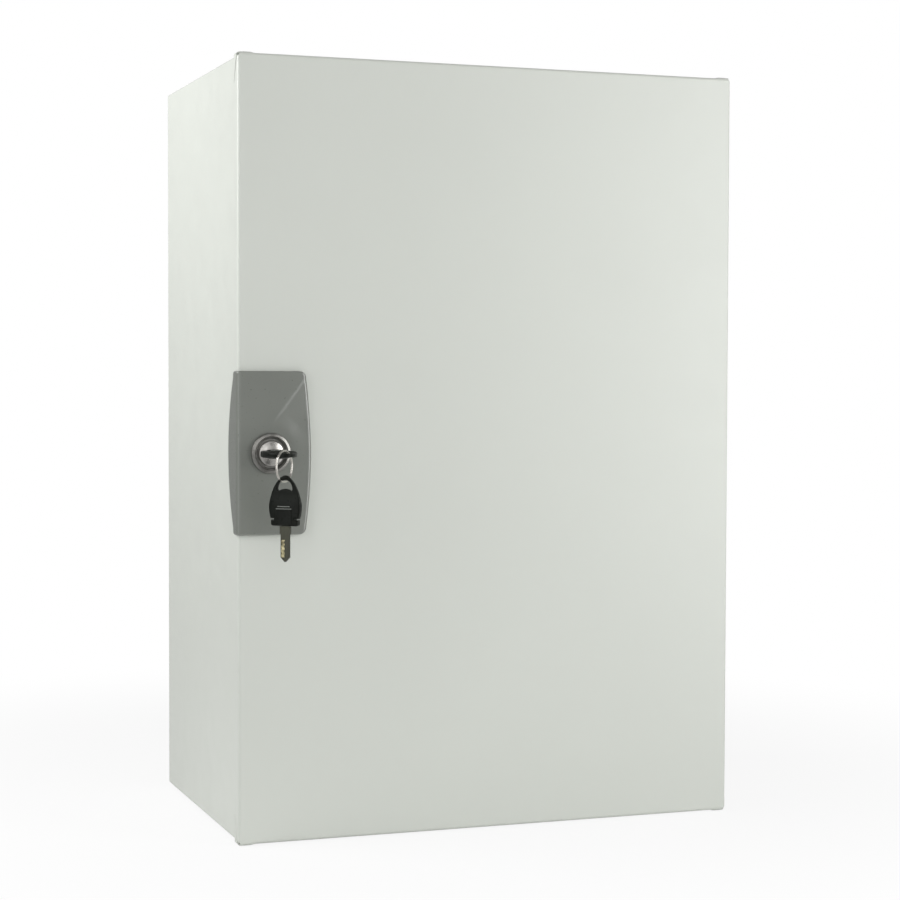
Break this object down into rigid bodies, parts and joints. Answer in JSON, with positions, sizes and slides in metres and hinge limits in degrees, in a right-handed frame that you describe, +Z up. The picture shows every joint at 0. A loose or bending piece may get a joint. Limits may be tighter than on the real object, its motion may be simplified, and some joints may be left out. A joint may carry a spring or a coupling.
{
  "type": "key cabinet",
  "caption": "Wall-hung steel key cabinet with a full-front pan door, cam lock with key in a wrap-round grip housing, hook rails and a swing-out page.",
  "frame": {"origin": "centre of the back panel's outer face, the face that lies on the wall", "axes": "+Z up, +Y into the wall, the door faces -Y, +X to the right as seen from the front"},
  "size_m": [0.3798, 0.2921, 0.5514],
  "materials": {
    "powder_coat": "light grey satin powder coat on sheet steel",
    "zinc_steel": "bright zinc plated steel",
    "rail_aluminium": "mill finish rail",
    "nickel": "nickel plated",
    "bezel_metal": "turned satin ring",
    "housing_plastic": "satin grey moulded plastic",
    "key_plastic": "black moulded key head",
    "rubber": "black rubber"
  },
  "bodies": {
    "cabinet": {"cabinet_shell": "powder_coat", "back_panel": "powder_coat", "back_upright_left": "zinc_steel", "back_upright_right": "zinc_steel", "back_hook_rail_1": "rail_aluminium", "back_hook_rail_2": "rail_aluminium", "back_hook_rail_3": "rail_aluminium", "back_hook_rail_4": "rail_aluminium", "back_hook_rail_5": "rail_aluminium", "back_hook_rail_6": "rail_aluminium", "upright_rivet_1": "zinc_steel", "upright_rivet_2": "zinc_steel", "upright_rivet_3": "zinc_steel", "upright_rivet_4": "zinc_steel", "hinge_bracket_top": "zinc_steel", "hinge_bracket_bottom": "zinc_steel", "hinge_pin_top": "zinc_steel", "hinge_pin_bottom": "zinc_steel", "strike_plate": "zinc_steel", "door_buffer_top": "rubber", "door_buffer_bottom": "rubber", "page_bracket_top": "zinc_steel", "page_bracket_bottom": "zinc_steel", "page_pin_top": "zinc_steel", "page_pin_bottom": "zinc_steel"},
    "door": {"door_panel": "powder_coat", "door_upright_left": "zinc_steel", "door_upright_right": "zinc_steel", "door_hook_rail_1": "rail_aluminium", "door_hook_rail_2": "rail_aluminium", "door_hook_rail_3": "rail_aluminium", "door_hook_rail_4": "rail_aluminium", "door_hook_rail_5": "rail_aluminium", "lock_housing": "housing_plastic", "housing_screw_top": "zinc_steel", "housing_screw_bottom": "zinc_steel", "lock_bezel": "bezel_metal", "lock_barrel": "nickel", "lock_nut": "zinc_steel"},
    "lock_core": {"lock_plug": "nickel", "lock_cam": "zinc_steel", "cam_screw": "zinc_steel"},
    "key": {"key_bow": "key_plastic", "key_blade": "nickel"},
    "key_ring": {"key_ring": "nickel"},
    "spare_key": {"spare_key_bow": "key_plastic", "spare_key_blade": "nickel"},
    "page": {"page_panel": "powder_coat", "page_front_rail_1": "rail_aluminium", "page_front_rail_2": "rail_aluminium", "page_front_rail_3": "rail_aluminium", "page_front_rail_4": "rail_aluminium", "page_front_rail_5": "rail_aluminium", "page_rear_rail_1": "rail_aluminium", "page_rear_rail_2": "rail_aluminium", "page_rear_rail_3": "rail_aluminium", "page_rear_rail_4": "rail_aluminium"}
  },
  "joints": [
    {"name": "door_swing", "type": "hinge", "parent": "cabinet", "child": "door", "pos_m": [0.1848, -0.2265, 0], "axis": [0, 0, 1], "range_deg": [0, 105]},
    {"name": "page_swing", "type": "hinge", "parent": "cabinet", "child": "page", "pos_m": [0.14, -0.122, 0], "axis": [0, 0, 1], "range_deg": [0, 84]},
    {"name": "lock_turn", "type": "hinge", "parent": "door", "child": "lock_core", "pos_m": [-0.167, -0.23, -0.0014], "axis": [0, 1, 0], "range_deg": [0, 90]},
    {"name": "key_pull", "type": "slide", "parent": "lock_core", "child": "key", "axis": [0, -1, 0], "range_m": [0, 0.02]},
    {"name": "ring_sway", "type": "hinge", "parent": "key", "child": "key_ring", "pos_m": [-0.1639, -0.2812, -0.0014], "axis": [0, 1, 0], "range_deg": [-8, 8]},
    {"name": "spare_key_sway", "type": "hinge", "parent": "key_ring", "child": "spare_key", "pos_m": [-0.169, -0.2812, -0.0192], "axis": [0.7314, -0.682, 0], "range_deg": [-20, 20]}
  ],
  "couplings": [
    {"joint": "page_swing", "follows": "door_swing", "ratio": 0.8}
  ]
}
